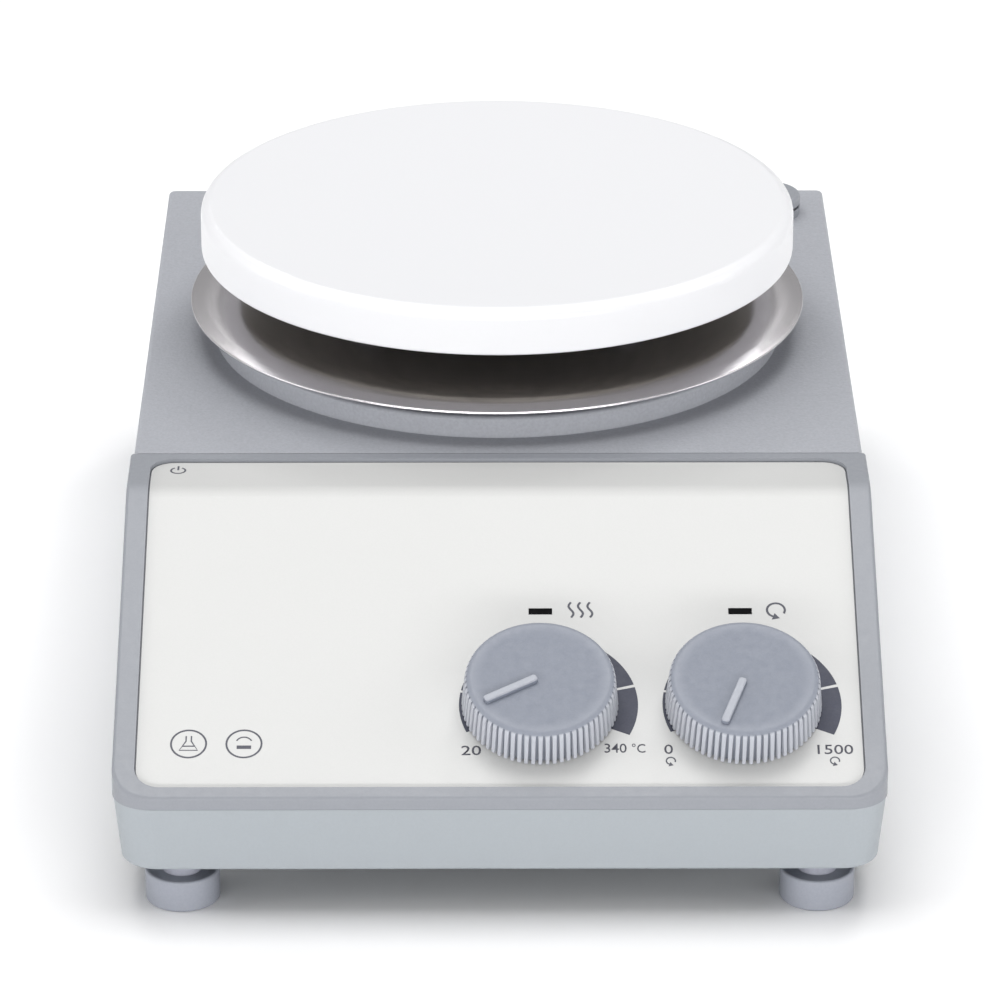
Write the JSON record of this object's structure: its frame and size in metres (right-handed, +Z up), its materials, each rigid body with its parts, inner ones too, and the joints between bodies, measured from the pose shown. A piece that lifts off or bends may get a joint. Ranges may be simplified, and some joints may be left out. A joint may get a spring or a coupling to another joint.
{
  "type": "magnetic stirrer",
  "caption": "Laboratory heating magnetic stirrer: sloped control panel with two dials, round white hot plate over a steel dish, grey housing on rubber feet.",
  "frame": {"origin": "centre of the overall box, at the level the feet stand on", "axes": "+Z up through the plate, +Y to the rear, +X to the user's right"},
  "size_m": [0.1606, 0.2626, 0.0941],
  "materials": {
    "housing_paint": "fine textured matte enamel",
    "film": "printed satin film",
    "window_black": "dark light window",
    "knob_plastic": "satin moulded",
    "inner_plastic": "moulded",
    "ceramic_white": "white ceramic-like coating",
    "stainless": "spun stainless",
    "steel": "plain steel",
    "brass": "plain",
    "insulation": "pressed mineral fibre",
    "board_green": "circuit board",
    "magnet_nickel": "nickel plated",
    "rubber_grey": "matte",
    "inlet_black": "moulded",
    "fuse_glass": "clear",
    "aluminium": "machined"
  },
  "bodies": {
    "stirrer_base": {"base_tray": "housing_paint", "upper_housing": "housing_paint", "front_bezel": "housing_paint", "panel_film": "film", "heat_led_window": "window_black", "stir_led_window": "window_black", "panel_carrier": "inner_plastic", "heat_pot_body": "steel", "stir_pot_body": "steel", "pot_nuts": "steel", "top_plate": "ceramic_white", "heat_shield_dish": "stainless", "housing_boss": "housing_paint", "heating_element": "steel", "insulation_disc": "insulation", "temperature_sensor": "steel", "plate_standoffs": "steel", "plate_screws": "steel", "motor_bracket": "steel", "bracket_screws": "steel", "motor_body": "steel", "motor_bearings": "steel", "control_board": "board_green", "power_board": "board_green", "board_standoffs": "brass", "mains_inlet": "inlet_black", "inlet_pins": "brass", "switch_frame": "inlet_black", "rocker_pivot": "steel", "rod_socket": "housing_paint", "feet": "rubber_grey", "foot_collars": "housing_paint", "foot_screws": "steel"},
    "heat_dial": {"heat_knob": "knob_plastic", "heat_pot_shaft": "steel"},
    "stir_dial": {"stir_knob": "knob_plastic", "stir_pot_shaft": "steel"},
    "rotor": {"motor_shaft": "steel", "magnet_carrier": "aluminium", "drive_magnets": "magnet_nickel"},
    "rocker": {"power_rocker": "inlet_black"},
    "fuse_carriage": {"fuse_drawer": "inlet_black", "fuses": "fuse_glass"},
    "plug": {"rod_plug": "knob_plastic"}
  },
  "joints": [
    {"name": "heat_turn", "type": "hinge", "parent": "stirrer_base", "child": "heat_dial", "pos_m": [0.0084, -0.10782, 0.03742], "axis": [0, -0.412, 0.9112], "range_deg": [-259, 41]},
    {"name": "stir_turn", "type": "hinge", "parent": "stirrer_base", "child": "stir_dial", "pos_m": [0.0509, -0.10782, 0.03742], "axis": [0, -0.412, 0.9112], "range_deg": [-300, 0]},
    {"name": "rotor_spin", "type": "hinge", "parent": "stirrer_base", "child": "rotor", "pos_m": [0, 0.038, 0.04], "axis": [0, 0, 1], "continuous": true},
    {"name": "rocker_tilt", "type": "hinge", "parent": "stirrer_base", "child": "rocker", "pos_m": [0.005, 0.1245, 0.041], "axis": [1, 0, 0], "range_deg": [-16, 0]},
    {"name": "fuse_slide", "type": "slide", "parent": "stirrer_base", "child": "fuse_carriage", "axis": [0, 1, 0], "range_m": [0, 0.018]},
    {"name": "plug_lift", "type": "slide", "parent": "stirrer_base", "child": "plug", "axis": [0, 0, 1], "range_m": [0, 0.06]}
  ]
}
